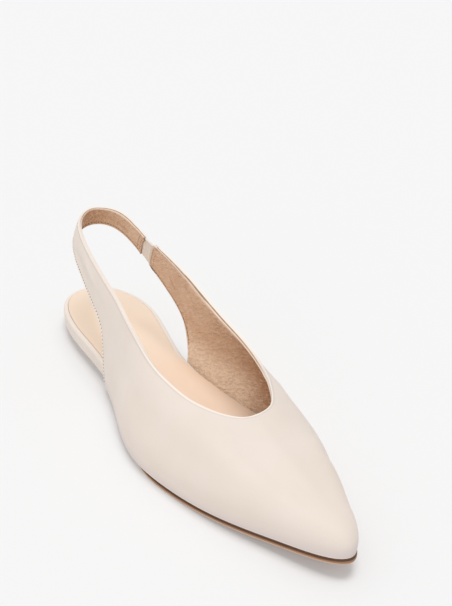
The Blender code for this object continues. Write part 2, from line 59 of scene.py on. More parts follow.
EDGE_ROUND = 0.62 * MM     # how round the folded edges of the upper are
BEAD_SHARE = 0.42          # the middle of the raised bead with its painted highlight, from the outer fold to the inner
SEAM_SHARE = 0.68          # the seam's painted shade line on the top edge, from its outer fold to its inner
LINING_BACK = 0.75 * MM    # lining trimmed back from the folded edge
LINING_PROUD = 0.10 * MM   # lining over the turned-in leather
LINING_TUCK = 0.25 * MM    # its rim goes down this far, into the leather
LINING_OVER = 1.5 * MM     # how far it runs over the elastic at the end of the strap
FLAP_EDGE = 0.60 * MM      # the cut edge that shows there, painted dark as shade
FLAP_REACH = 20.0 * MM     # farther from the strap's end than this there is none
STITCH_PITCH = 2.0 * MM
STITCH_INSET = 1.5 * MM    # stitch row from the cut edge
STITCH_MARGIN = 2.0 * MM   # from the ends of the row to the corners
END_PITCH = 1.5 * MM       # finer where the elastic is sewn in
END_ROWS = (1.8 * MM, 4.2 * MM)   # two rows there, from the cut end
END_MARGIN = 2.8 * MM
SEAM_MIN_Y, SEAM_MAX_X = -6.0 * MM, 40.0 * MM     # the seam's painted shade line is laid within these,
WING_MIN_Y, STRAP_MAX_X = 6.0 * MM, -95.0 * MM    # along the inner wing and round the strap
SEAM_X = (25.0 * MM, 37.0 * MM)   # it and the lip's painted highlight fade out between these
SEAM_Y = (-5.5 * MM, 1.0 * MM)    # and fade in between these, towards the inner side
ELASTIC_ROUND = 0.25 * MM
SOCK_ROUND = 0.22 * MM
FOOTBED_ROUND = 0.25 * MM
SOLE_ROUND = 0.12 * MM


# Half-sizes of the grains of thread: along the row, across it and out of the skin

THREAD_OUTSIDE = (0.575 * MM, 0.32 * MM, 0.34 * MM)
THREAD_INSIDE = (0.575 * MM, 0.24 * MM, 0.22 * MM)
THREAD_END = (0.425 * MM, 0.20 * MM, 0.16 * MM)
LOOSE_END = (1.3 * MM, 0.20 * MM, 0.20 * MM)
# the pinholes are dark beads of painted shade
PINHOLE = (0.36 * MM, 0.36 * MM, 0.16 * MM)


# The sole's edge, in shares of its height from the top

GROOVE_TOP = 0.46       # down to here it is a dark groove
GROOVE_LEDGE = 0.52     # and the brown edge starts here
GROOVE_DEPTH = 0.55 * MM
UPRIGHT = 0.95          # an edge of the solid is upright if its height is this share of it
EDGE_HEIGHT = 0.7 * MM  # and it is at least so long
SOLE_WALL = 0.5         # faces that look up or down by less than this are the sole's wall
SOCK_WALL = 0.6         # and the sock's
TREAD_FACING = -0.8     # and those that look down by more are tread


# Colours, as the shaders take them

CREAM = (0.803, 0.713, 0.642, 1.0)
CREAM_WARM = (0.775, 0.680, 0.600, 1.0)
CREAM_HIGHLIGHT = (0.925, 0.825, 0.740, 1.0)   # painted highlight along its edges and along the footbed's top edge
CREAM_LOW_SHADE = (0.700, 0.610, 0.590, 1.0)    # painted shade where the wall turns in to the sole
LINING = (0.785, 0.525, 0.348, 1.0)
LINING_LIT = (1.0, 0.815, 0.635, 1.0)
LINING_DARK = (0.42, 0.185, 0.068, 1.0)
SOCK = (0.93, 0.755, 0.605, 1.0)
SOCK_WARM = (0.915, 0.73, 0.57, 1.0)
TAN = (0.36, 0.190, 0.100, 1.0)
TAN_DARK = (0.29, 0.140, 0.070, 1.0)
TAN_PALE = (0.68, 0.43, 0.29, 1.0)
GROOVE = (0.100, 0.040, 0.015, 1.0)
# painted shade in gaps: on the inner top edge, where the sock meets the footbed, on the lining's
# flap edge
SHADE_LINE = (0.30, 0.165, 0.10, 1.0)
LIT_LINING_EDGE = (0.93, 0.70, 0.52, 1.0)            # the lining's edge where it comes up to the seam, painted paler as a highlight
ELASTIC = (0.87, 0.79, 0.70, 1.0)
ELASTIC_SHADE = (0.62, 0.52, 0.42, 1.0)
CREAM_THREAD = (0.95, 0.90, 0.84, 1.0)
TAN_THREAD = (0.50, 0.33, 0.20, 1.0)
BROWN_THREAD = (0.30, 0.165, 0.095, 1.0)
# painted shade of the pinholes
HOLE_SHADE = (0.10, 0.05, 0.03, 1.0)
FLOOR = (0.70, 0.70, 0.70, 1.0)
FLOOR_GLOW = 0.172                        # painted light: the floor glows, so that the shadows on it stay light


def shaded(name, colour, roughness, **sockets):
    """A material whose plain values sit on the shader's own sockets."""
    material = bpy.data.materials.new(name)
    material.use_nodes = True
    shader = material.node_tree.nodes["Principled BSDF"]
    shader.inputs["Base Color"].default_value = colour
    shader.inputs["Roughness"].default_value = roughness
    for socket, value in sockets.items():
        shader.inputs[socket.replace("_", " ")].default_value = value
    return material


def node(material, kind, inputs=(), **settings):
    """A shader node with its settings; an input that is another node's socket is linked."""
    made = material.node_tree.nodes.new(kind)
    for setting, value in settings.items():
        setattr(made, setting, value)
    for socket, value in dict(inputs).items():
        if isinstance(value, bpy.types.NodeSocket):
            material.node_tree.links.new(value, made.inputs[socket])
        else:
            made.inputs[socket].default_value = value
    return made


def place(material, scale=(1.0, 1.0, 1.0), turn=(0.0, 0.0, 0.0)):
    """Object coordinates, stretched and turned for a pattern."""
    source = node(material, "ShaderNodeTexCoord")
    turned = node(material, "ShaderNodeMapping",
                  {"Vector": source.outputs["Object"], "Rotation": turn})
    return node(material, "ShaderNodeVectorMath",
                {0: turned.outputs["Vector"], 1: scale}, operation="MULTIPLY").outputs["Vector"]


def noise(material, spot, scale, detail=3.0, roughness=0.55, distortion=0.0):
    return node(material, "ShaderNodeTexNoise",
                {"Vector": spot, "Scale": scale, "Detail": detail,
                 "Roughness": roughness, "Distortion": distortion}).outputs["Fac"]


def ranged(material, value, low, high, to_low, to_high):
    """A value brought from one range to another, and held at its ends."""
    return node(material, "ShaderNodeMapRange",
                {"Value": value, "From Min": low, "From Max": high,
                 "To Min": to_low, "To Max": to_high}).outputs["Result"]


def blended(material, share, first, second):
    """A share of the way from the first colour to the second, on the node's colour sockets."""
    return node(material, "ShaderNodeMix", {0: share, 6: first, 7: second},
                data_type="RGBA").outputs[2]


def bumped(material, height, distance, strength=1.0, under=None):
    """A bump, over another one if that is given."""
    inputs = {"Height": height, "Distance": distance, "Strength": strength}
    if under is not None:
        inputs["Normal"] = under
    return node(material, "ShaderNodeBump", inputs).outputs["Normal"]


def into_shader(material, socket, value):
    shader = material.node_tree.nodes["Principled BSDF"]
    material.node_tree.links.new(value, shader.inputs[socket])


def maths(material, operation, first, second):
    return node(material, "ShaderNodeMath", {0: first, 1: second}, operation=operation).outputs[0]


def along(material, name):
    """A measure that the mesh carries, such as how far each point lies from a line on it."""
    return node(material, "ShaderNodeAttribute", attribute_name=name).outputs["Fac"]


def cream_leather(name, of_upper):
    """Smooth nappa: faint cloudy shading, pores under a millimetre and a soft sheen.

    The upper's has painted shade where it turns in to the sole, painted highlights on the beads at
    its edges, and on its inner top edge a painted shade line in the gap beside the lining's edge,
    painted paler as a highlight.
    The footbed's has a painted highlight along its top edge and a brown line of painted shade
    where the sock ends.
    """
    material = shaded(name, CREAM, 0.6, Sheen_Weight=0.08, Sheen_Roughness=0.5,
                      Sheen_Tint=(0.95, 0.86, 0.93, 1.0), Specular_IOR_Level=0.30)
    plain = place(material)
    cloud = ranged(material, noise(material, plain, 34.0, 2.0), 0.35, 0.7, 0.0, 1.0)
    base = blended(material, cloud, CREAM, CREAM_WARM)
    swell = bumped(material, noise(material, plain, 95.0, 2.0), 0.30 * MM, 0.4)
    if of_upper:
        # painted shade low on the wall, where it turns in to the sole
        turned_in = ranged(material, along(material, "to_hem"), 0.9 * MM, 7.0 * MM, 0.9, 0.0)
        above = ranged(material, along(material, "to_hem"), 0.45 * MM, 0.8 * MM, 0.0, 1.0)
        low = maths(material, "MULTIPLY", turned_in, above)
        base = blended(material, low, base, CREAM_LOW_SHADE)
        # painted highlight along the bead of each folded edge
        rim = ranged(material, along(material, "to_edge"), 1.0 * MM, 1.45 * MM, 0.95, 0.0)
        base = blended(material, rim, base, CREAM_HIGHLIGHT)
        spot = node(material, "ShaderNodeSeparateXYZ", {"Vector": plain})
        shown = maths(material, "MULTIPLY",
                      ranged(material, spot.outputs["X"], *SEAM_X, 1.0, 0.0),
                      ranged(material, spot.outputs["Y"], *SEAM_Y, 0.0, 1.0))
        # the lining's edge on the inner top edge, painted paler than the lining as a highlight
        lip = ranged(material, along(material, "to_lip"), 0.35 * MM, 0.65 * MM, 0.85, 0.0)
        base = blended(material, maths(material, "MULTIPLY", lip, shown), base, LIT_LINING_EDGE)
        # painted shade line in the gap between the lining's edge and the leather
        seam = ranged(material, along(material, "to_seam"), 0.10 * MM, 0.38 * MM, 1.0, 0.0)
        base = blended(material, maths(material, "MULTIPLY", seam, shown), base, SHADE_LINE)
        dip = ranged(material, along(material, "to_seam"), 0.0, 0.5 * MM, 0.0, 1.0)
        swell = bumped(material, dip, 0.25 * MM, 0.8, swell)
        raised = ranged(material, along(material, "to_edge"), 1.2 * MM, 1.8 * MM, 1.0, 0.0)
        swell = bumped(material, raised, 0.28 * MM, 1.0, swell)
    else:
        # painted highlight along the footbed's rounded top edge
        shoulder = ranged(material, along(material, "to_sock"), 1.7 * MM, 2.6 * MM, 0.75, 0.0)
        base = blended(material, shoulder, base, CREAM_HIGHLIGHT)
        # painted shade in the gap where the sock meets the footbed
        joint_shade = ranged(material, along(material, "to_sock"), 0.20 * MM, 0.50 * MM, 0.8, 0.0)
        base = blended(material, joint_shade, base, SHADE_LINE)
    into_shader(material, "Base Color", base)
    into_shader(material, "Roughness",
                ranged(material, noise(material, plain, 120.0), 0.3, 0.7, 0.56, 0.66))
    pores = node(material, "ShaderNodeTexVoronoi", {"Vector": plain, "Scale": 1500.0},
                 feature="SMOOTH_F1").outputs["Distance"]
    grain = bumped(material, pores, 0.05 * MM, 0.4, swell)
    into_shader(material, "Normal",
                bumped(material, noise(material, plain, 900.0, 4.0), 0.05 * MM, 0.4, grain))
    return material


def tan_lining():
    """Pigskin-like lining: a wavy crushed grain across the wing, with painted shade in its folds
    and painted highlights on their crests, both stronger low in the shoe.

    It is painted paler low in the shoe, as light from the sock, and with painted shade under the
    vamp; it is darker towards the back of the heel.
    """
    material = shaded("tan_lining", LINING, 0.52, Sheen_Weight=0.05, Sheen_Roughness=0.5,
                      Sheen_Tint=(0.95, 0.82, 0.70, 1.0))
    plain = place(material)
    across = place(material, (0.33, 1.0, 1.0), (0.0, math.radians(26.0), 0.0))
    waves = ranged(material, noise(material, across, 800.0, 1.0, 0.5, 0.6), 0.33, 0.67, 0.0, 1.0)
    cells = ranged(material, noise(material, plain, 1100.0, 1.0, 0.5, 0.6), 0.35, 0.65, 0.0, 1.0)
    folds = maths(material, "ADD", maths(material, "MULTIPLY", waves, 0.68),
                  maths(material, "MULTIPLY", cells, 0.32))
    crushed = noise(material, plain, 1300.0, 2.0, 0.55, 0.5)
    spot = node(material, "ShaderNodeSeparateXYZ", {"Vector": plain})
    cloud = ranged(material, noise(material, plain, 45.0, 1.0), 0.35, 0.75, 0.0, 0.25)
    base = blended(material, cloud, LINING, LINING_DARK)
    # painted light low in the shoe, near the sock
    low = ranged(material, spot.outputs["Z"], 19.0 * MM, 34.0 * MM, 1.0, 0.0)
    base = blended(material, low, base, LINING_LIT)
    # painted shade under the vamp and towards the throat; darker towards the back of the heel too
    under = ranged(material, spot.outputs["X"], -20.0 * MM, 26.0 * MM, 0.0, 0.85)
    high = ranged(material, along(material, "to_topline"), 3.0 * MM, 24.0 * MM, 1.0, 0.2)
    deep = ranged(material, spot.outputs["X"], 6.0 * MM, 27.0 * MM, 0.0, 0.9)
    shade = maths(material, "MAXIMUM", maths(material, "MULTIPLY", under, high), deep)
    behind = ranged(material, spot.outputs["X"], -96.0 * MM, -118.0 * MM, 0.0, 0.38)
    shade = maths(material, "MAXIMUM", shade, behind)
    base = blended(material, shade, base, LINING_DARK)
    # painted shade along the lining's crease lines, broken up by noise
    patchy = noise(material, plain, 300.0, 3.0, 0.6)
    near_fold = ranged(material, along(material, "to_fold"), 0.2 * MM, 1.4 * MM, 1.0, 0.0)
    crease_shade = maths(material, "MULTIPLY", near_fold, ranged(material, patchy, 0.38, 0.56, 0.0, 0.55))
    base = blended(material, crease_shade, base, LINING_DARK)
    # painted shade in the grain's folds and painted highlights on their crests, stronger low down
    marked = ranged(material, spot.outputs["Z"], 18.0 * MM, 48.0 * MM, 1.0, 0.45)
    dark = maths(material, "MULTIPLY", ranged(material, folds, 0.18, 0.55, 0.25, 0.0), marked)
    lit = maths(material, "MULTIPLY", ranged(material, folds, 0.52, 0.80, 0.0, 0.26), marked)
    base = blended(material, lit, base, LINING_LIT)
    into_shader(material, "Base Color", blended(material, dark, base, LINING_DARK))
    into_shader(material, "Roughness", ranged(material, folds, 0.3, 0.9, 0.62, 0.44))
    rough = bumped(material, folds, 0.72 * MM, 0.9)
    into_shader(material, "Normal", bumped(material, crushed, 0.35 * MM, 0.7, rough))
    return material


def sock_leather():
    material = shaded("sock_leather", SOCK, 0.55, Sheen_Weight=0.06, Sheen_Roughness=0.5)
    plain = place(material)
    cloud = ranged(material, noise(material, plain, 26.0, 2.0), 0.35, 0.7, 0.0, 1.0)
    into_shader(material, "Base Color", blended(material, cloud, SOCK, SOCK_WARM))
    pores = noise(material, plain, 1300.0, 4.0)
    into_shader(material, "Normal", bumped(material, pores, 0.05 * MM, 0.5))
    into_shader(material, "Roughness", ranged(material, pores, 0.3, 0.7, 0.50, 0.60))
    return material


def sole_edge(name, stepped):
    """A cut and burnished edge; a stepped one is dark above, with a pale line at its foot."""
    material = shaded(name, TAN, 0.45)
    layers = place(material, (1.0, 1.0, 14.0))
    streak = noise(material, layers, 160.0, 4.0, 0.6)
    tan = blended(material, ranged(material, streak, 0.35, 0.65, 0.0, 1.0), TAN, TAN_DARK)
    if stepped:
        drop = along(material, "down_the_edge")
        tan = blended(material, ranged(material, drop, 0.76, 0.90, 0.0, 1.0), tan, TAN_PALE)
        groove = ranged(material, drop, GROOVE_TOP, GROOVE_LEDGE, 1.0, 0.0)
        tan = blended(material, groove, tan, GROOVE)
    into_shader(material, "Base Color", tan)
    into_shader(material, "Roughness", ranged(material, streak, 0.3, 0.7, 0.53, 0.39))
    into_shader(material, "Normal", bumped(material, streak, 0.08 * MM, 0.4))
    return material


def elastic_weave():
    """Ribbed tape: fine cords along it, crossed by the weft, set out on the tape itself."""
    material = shaded("elastic_weave", ELASTIC, 0.8, Sheen_Weight=0.25, Sheen_Roughness=0.5)

    def ridges(name, pitch):
        turned = maths(material, "MULTIPLY", along(material, name), 2.0 * math.pi / pitch)
        return ranged(material, maths(material, "SINE", turned, 0.0), -1.0, 1.0, 0.0, 1.0)

    weft = ridges("tape_run", 0.7 * MM)
    cords = ridges("tape_rise", 1.3 * MM)
    woven = bumped(material, weft, 0.12 * MM, 0.7)
    into_shader(material, "Normal", bumped(material, cords, 0.15 * MM, 0.7, woven))
    valleys = ranged(material, weft, 0.0, 1.0, 0.25, 0.0)
    into_shader(material, "Base Color", blended(material, valleys, ELASTIC, ELASTIC_SHADE))
    return material


def twisted(name, colour):
    material = shaded(name, colour, 0.6, Sheen_Weight=0.2)
    plies = noise(material, place(material), 2600.0, 2.0)
    into_shader(material, "Base Color",
                blended(material, ranged(material, plies, 0.3, 0.7, 0.0, 0.5), colour,
                        tuple(0.7 * c for c in colour[:3]) + (1.0,)))
    return material


def studio_floor():
    # the floor glows as painted light, though it is no lamp
    material = shaded("studio_floor", FLOOR, 0.95, Specular_IOR_Level=0.0,
                      Emission_Color=(1.0, 1.0, 1.0, 1.0), Emission_Strength=FLOOR_GLOW)
    soft = noise(material, place(material), 3.0, 1.0)
    into_shader(material, "Roughness", ranged(material, soft, 0.0, 1.0, 0.93, 0.97))
    return material


# The solids as blanks


def blank(name):
    """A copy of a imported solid: its loose triangles merged, and joined to four-sided faces."""
    shape = bmesh.new()
    shape.from_mesh(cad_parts[name].data)
    bmesh.ops.remove_doubles(shape, verts=shape.verts, dist=MERGE)
    bmesh.ops.join_triangles(shape, faces=shape.faces[:], angle_face_threshold=math.pi,
                             angle_shape_threshold=math.pi)
    shape.normal_update()
    shape.faces.ensure_lookup_table()
    return shape


def as_mesh(shape, name):
    """The shape as a mesh of that name; the shape itself is used up."""
    mesh = bpy.data.meshes.new(name)
    shape.to_mesh(mesh)
    shape.free()
    return mesh


def added(name, data):
    """A new object in the scene."""
    made = bpy.data.objects.new(name, data)
    bpy.context.scene.collection.objects.link(made)
    return made


def put(mesh, name, materials, slot, *nodes):
    """Make a mesh a piece of the shoe, in the place of its nodes; its record slot is not used."""
    for material in materials:
        mesh.materials.append(material)
    mesh.shade_smooth()
    piece = added(name, mesh)
    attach(piece, "root")
    if nodes:
        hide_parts(*nodes)
    return piece


def smoothed(shape, levels):
    """The shape as a mesh after a subdivision surface, with nothing left live on it."""
    mesh = as_mesh(shape, "shape")
    holder = added("shape", mesh)
    surface = holder.modifiers.new("surface", "SUBSURF")
    surface.levels = surface.render_levels = levels
    seen = holder.evaluated_get(bpy.context.evaluated_depsgraph_get())
    made = bpy.data.meshes.new_from_object(seen)
    bpy.data.objects.remove(holder)
    bpy.data.meshes.remove(mesh)
    return made


def points_of(mesh):
    """The places of a mesh's points, one row each."""
    flat = np.empty(3 * len(mesh.vertices))
    mesh.vertices.foreach_get("co", flat)
    return flat.reshape(-1, 3)


def lay(mesh, name, values):
    """Give the points of a mesh a measure, for its material."""
    mesh.attributes.new(name, "FLOAT", "POINT").data.foreach_set("value", values)


def round_folds(shape, angle, offset, segments=2):
    """Round the edges at which the surface turns by more than an angle."""
    bmesh.ops.bevel(shape, geom=folded_edges(shape, angle), offset=offset, offset_type="OFFSET",
                    segments=segments, profile=0.5, affect="EDGES", material=-1,
                    clamp_overlap=True)


def folded_edges(shape, angle):
    """Edges at which the surface turns by more than an angle in degrees."""
    limit = math.radians(angle)
    return [e for e in shape.edges if len(e.link_faces) == 2 and e.calc_face_angle(0.0) > limit]


def patches(shape, angle):
    """Groups of faces that meet without a fold, largest first."""
    fold = {edge.index for edge in folded_edges(shape, angle)}
    left, groups = set(shape.faces), []
    for first in shape.faces:
        if first not in left:
            continue
        left.discard(first)
        group, front = [first], [first]
        while front:
            for edge in front.pop().edges:
                if edge.index in fold:
                    continue
                fresh = [face for face in edge.link_faces if face in left]
                left.difference_update(fresh)
                group += fresh
                front += fresh
        groups.append(group)
    return sorted(groups, key=lambda group: -sum(face.calc_area() for face in group))


# The upper: its two skins, its folded edges and its lining


def named_patches(shape):
    """The skins and cut edges of the upper by name."""
    groups = patches(shape, FOLD_ANGLE)
    named = {"outside": groups[0], "inside": groups[1]}
    cuts = groups[2:8]
    highest = max(cuts, key=lambda group: max(v.co.z for face in group for v in face.verts))
    named["topline"] = highest
    rest = [group for group in cuts if group is not highest]
    named["hem"], named["strap_edge"], named["wing_edge"] = rest[:3]
    ends = sorted(rest[3:5], key=lambda group: group[0].calc_center_median().x)
    named["strap_end"], named["wing_end"] = ends
    return named


def cut_line(skin, cut, inset):
    """Points along the fold between a skin and a cut edge, moved on to the skin by an inset."""
    skin_faces, cut_faces = set(skin), set(cut)
    links = {}
    into = {}
    for face in cut:
        for edge in face.edges:
            pair = edge.link_faces
            if len(pair) == 2 and (pair[0] in skin_faces) != (pair[1] in skin_faces) \
                    and (pair[0] in cut_faces) != (pair[1] in cut_faces):
                a, b = edge.verts
                links.setdefault(a, []).append(b)
                links.setdefault(b, []).append(a)
                inner = pair[0] if pair[0] in skin_faces else pair[1]
                run = (b.co - a.co).normalized()
                way = inner.calc_center_median() - 0.5 * (a.co + b.co)
                way -= run * way.dot(run)
                for end in (a, b):
                    into[end] = into.get(end, Vector()) + way.normalized()
    start = next(v for v in links if len(links[v]) == 1)
    chain, before = [start], None
    while True:
        ahead = [v for v in links[chain[-1]] if v is not before]
        if not ahead:
            break
        before = chain[-1]
        chain.append(ahead[0])
    return [v.co + into[v].normalized() * inset for v in chain]


def spaced(points, pitch, start=0.0, end=0.0):
    """Points at an even pitch along a line, with the direction of the line at each."""
    points = np.array([p[:] for p in points])
    legs = np.linalg.norm(np.diff(points, axis=0), axis=1)
    reach = np.concatenate([[0.0], np.cumsum(legs)])
    count = max(2, int(round((reach[-1] - start - end) / pitch)) + 1)
    at = np.linspace(start, reach[-1] - end, count)
    spots = np.stack([np.interp(at, reach, points[:, k]) for k in range(3)], axis=1)
    runs = np.gradient(spots, axis=0)
    return [(Vector(spot), Vector(run).normalized()) for spot, run in zip(spots, runs)]


def lay_distance(mesh, name, lines):
    """Give each point of a mesh its distance from the nearest of some lines, for its material."""
    marks = [mark for line in lines for mark, _ in spaced(line, MARK_STEP)]
    found = KDTree(len(marks))
    for number, mark in enumerate(marks):
        found.insert(mark, number)
    found.balance()
    lay(mesh, name, [found.find(vertex.co)[2] for vertex in mesh.vertices])


def skin_tree(mesh):
    return BVHTree.FromPolygons([v.co for v in mesh.vertices],
                                [tuple(p.vertices) for p in mesh.polygons])


def set_on_skin(tree, near, run):
    """A frame on a skin: where a point of a stitch row lies, its run and the way out."""
    spot, out, _, _ = tree.find_nearest(near)
    run = (run - out * run.dot(out)).normalized()
    return spot, run, out


def between(first, second, share):
    """A line that runs between two, at a share of the way from the first."""
    if (first[0] - second[0]).length > (first[0] - second[-1]).length:
        second = second[::-1]
    count = 2 * len(first)
    length = sum((b - a).length for a, b in zip(first, first[1:]))
    pairs = zip(spaced(first, length / count), spaced(second, length / count))
    return [a.lerp(b, share) for (a, _), (b, _) in pairs]


def bead(spot, run, out, size):
    """Where a small rounded grain of thread or a pinhole goes, long along its run."""
    side = out.cross(run)
    turn = Matrix((run, side, out)).transposed().to_4x4()
    return Matrix.Translation(spot) @ turn @ Matrix.Diagonal((*size, 1.0))


def strewn(turns):
    """One shape of small grains, each placed, turned and stretched as given."""
    grain = bmesh.new()
    bmesh.ops.create_uvsphere(grain, u_segments=8, v_segments=5, radius=1.0)
    one = as_mesh(grain, "grain")
    shape = bmesh.new()
    for turn in turns:
        turned = one.copy()
        turned.transform(turn)
        shape.from_mesh(turned)
        bpy.data.meshes.remove(turned)
    bpy.data.meshes.remove(one)
    return shape


def stitch_row(stitches, hole_shades, tree, places, size):
    """One row: a grain of thread between each two pinholes, which are dark beads of painted shade.
    """
    for (first, run), (second, _) in zip(places, places[1:]):
        spot, run, out = set_on_skin(tree, 0.5 * (first + second), run)
        stitches.append(bead(spot + out * 0.4 * size[2], run, out, size))
    for near, run in places:
        spot, run, out = set_on_skin(tree, near, run)
        hole_shades.append(bead(spot, run, out, PINHOLE))


# Creases are soft troughs and swells in the wall. way is the direction that the wall gives,
# width how far the crease reaches to each side, depth how far the wall gives in its middle,
# and the points lie on the shoe.
Crease = namedtuple("Crease", "name way width depth points")
CREASES = [
    Crease("strap hollow", (0.0, 1.0, 0.1), 2.2 * MM, 1.0 * MM,
           [(-0.0985, -0.0115, 0.0610), (-0.0830, -0.0160, 0.0565), (-0.0660, -0.0190, 0.0500)]),
    Crease("strap ridge", (0.0, -1.0, 0.1), 2.0 * MM, 0.55 * MM,
           [(-0.0900, -0.0120, 0.0650), (-0.0720, -0.0160, 0.0590), (-0.0560, -0.0185, 0.0530)]),
    Crease("wing hollow", (0.0, 1.0, 0.2), 2.8 * MM, 0.70 * MM,
           [(-0.0640, -0.0190, 0.0590), (-0.0500, -0.0220, 0.0450)]),
    Crease("wing fold", (0.0, 1.0, 0.2), 2.0 * MM, 0.45 * MM,
           [(-0.0480, -0.0210, 0.0570), (-0.0420, -0.0250, 0.0470)]),
    Crease("heel pull", (1.0, 0.0, 0.0), 2.2 * MM, 0.49 * MM,
           [(-0.1180, -0.0060, 0.0640), (-0.1195, 0.0060, 0.0655), (-0.1170, 0.0140, 0.0635)]),
    Crease("inner strap crease", (0.3, -1.0, 0.0), 1.6 * MM, 0.56 * MM,
           [(-0.1080, 0.0190, 0.0660), (-0.1000, 0.0205, 0.0620)]),
    Crease("inner strap fold", (0.2, -1.0, 0.0), 1.6 * MM, 0.49 * MM,
           [(-0.0980, 0.0215, 0.0650), (-0.0900, 0.0220, 0.0590)]),
    Crease("inner wing crease", (0.0, -1.0, 0.0), 2.4 * MM, 0.56 * MM,
           [(-0.0600, 0.0235, 0.0430), (-0.0480, 0.0250, 0.0570)]),
    Crease("inner wing fold", (0.0, -1.0, 0.1), 2.6 * MM, 0.63 * MM,
           [(-0.0420, 0.0260, 0.0330), (-0.0300, 0.0270, 0.0520)]),
    Crease("inner waist fold", (0.0, -1.0, 0.1), 2.8 * MM, 0.63 * MM,
           [(-0.0250, 0.0290, 0.0240), (-0.0140, 0.0280, 0.0450)]),
    Crease("inner ball fold", (0.0, -1.0, 0.2), 2.8 * MM, 0.49 * MM,
           [(-0.0060, 0.0330, 0.0180), (0.0060, 0.0300, 0.0360)]),
    Crease("inner shoulder", (-0.1, -0.6, -0.8), 9.0 * MM, 2.7 * MM,
           [(0.0400, 0.0292, 0.0395), (0.0620, 0.0270, 0.0355), (0.0790, 0.0262, 0.0308)]),
    Crease("inner toe", (0.2, 0.8, 0.5), 7.0 * MM, 1.6 * MM,
           [(0.0840, 0.0235, 0.0275), (0.0940, 0.0215, 0.0255), (0.1040, 0.0185, 0.0240),
            (0.1140, 0.0150, 0.0240)]),
]
CREASE_SHADE_LINES = [             # lasting folds of the lining, painted darker as the shade in them
    [(-0.1176, 0.0075, 0.0655), (-0.1147, 0.0138, 0.0660), (-0.1075, 0.0176, 0.0655),
     (-0.0965, 0.0195, 0.0630)],
    [(-0.0400, 0.0235, 0.0540), (-0.0330, 0.0238, 0.0490), (-0.0290, 0.0240, 0.0430)],
    [(-0.0550, 0.0227, 0.0530), (-0.0500, 0.0230, 0.0480)],
]
EDGE_SWELLS = [            # the top edge on the inner side is fuller outwards, between these X
    ("strap edge", -0.118, -0.086, 0.7 * MM),
    ("wing edge", -0.088, 0.036, 1.3 * MM),
]
SWELL_WAY, SWELL_WIDTH = (0.1, 0.75, 0.65), 1.5 * MM
SWELL_FROM = 4.0 * MM      # and inwards of this Y
LOOSE_ENDS = [(0.7, -0.2, 1.0), (1.0, -0.1, 0.5), (0.2, -0.3, 1.0), (1.0, -0.2, 0.1)]
LOOSE_FACING = (0.1, -0.9, 0.2)
LOOSE_OUT = 1.0 * MM       # from where a loose end starts to its middle


def press_creases(mesh, creases):
    """Let the wall give along each crease, on both of its skins alike."""
    places = points_of(mesh)
    count = len(places)
    moved = np.zeros_like(places)
    for crease in creases:
        points = np.array(crease.points)
        nearest = np.full(count, np.inf)
        share = np.zeros(count)
        legs = len(points) - 1
        for leg in range(legs):
            start, step = points[leg], points[leg + 1] - points[leg]
            t = np.clip((places - start) @ step / (step @ step), 0.0, 1.0)
            gap = np.linalg.norm(places - start - t[:, None] * step, axis=1)
            closer = gap < nearest
            nearest = np.where(closer, gap, nearest)
            share = np.where(closer, (leg + t) / legs, share)
        fade = np.sin(np.pi * np.clip(share, 0.0, 1.0))
        depth = crease.depth * np.exp(-(nearest / crease.width) ** 2) * fade
        moved += depth[:, None] * np.array(Vector(crease.way).normalized())
    mesh.vertices.foreach_set("co", (places + moved).ravel())
    mesh.update()


def seamed(line):
    """The stretch of a line round the heel strap and along the inner wing, where the seam's painted
    shade line shows.
    """
    return [spot for spot in line if spot.y > SEAM_MIN_Y and spot.x < SEAM_MAX_X
            and (spot.y > WING_MIN_Y or spot.x < STRAP_MAX_X)]


def stitch_lines(parts):
    """Every stitch row: its skin, whether it sews the elastic in, and its line."""
    rows = [(skin, False, cut_line(parts[skin], parts[cut], STITCH_INSET))
            for skin in ("outside", "inside") for cut in ("strap_edge", "wing_edge")]
    for skin in ("outside", "inside"):
        for cut in ("strap_end", "wing_end"):
            over = LINING_OVER if (skin, cut) == ("inside", "strap_end") else 0.0
            rows += [(skin, True, cut_line(parts[skin], parts[cut], inset - over))
                     for inset in END_ROWS]
    return rows


def fold_leather():
    """The cream skin with its folded edges, its stitch rows and the seam on its top edge."""
    shape = blank("upper")
    parts = named_patches(shape)
    rows = stitch_lines(parts)
    folds = {cut: [cut_line(parts[skin], parts[cut], 0.0) for skin in ("outside", "inside")]
             for cut in ("topline", "strap_edge", "wing_edge")}
    outer_fold, inner_fold = folds["topline"]
    topline = between(outer_fold, inner_fold, SEAM_SHARE)
    hem = cut_line(parts["outside"], parts["hem"], 0.0)
    swells = [Crease(name, SWELL_WAY, SWELL_WIDTH, depth,
                     [p for p in outer_fold if p.y > SWELL_FROM and behind < p.x < before])
              for name, behind, before, depth in EDGE_SWELLS]
    round_folds(shape, FOLD_ANGLE, EDGE_ROUND, 3)
    leather = smoothed(shape, 2)
    lay_distance(leather, "to_seam", [seamed(topline)])
    lay_distance(leather, "to_lip", [seamed(inner_fold)])
    lay_distance(leather, "to_edge", [between(*pair, BEAD_SHARE) for pair in folds.values()])
    lay_distance(leather, "to_hem", [hem])
    press_creases(leather, CREASES + swells)
    return leather, rows, topline


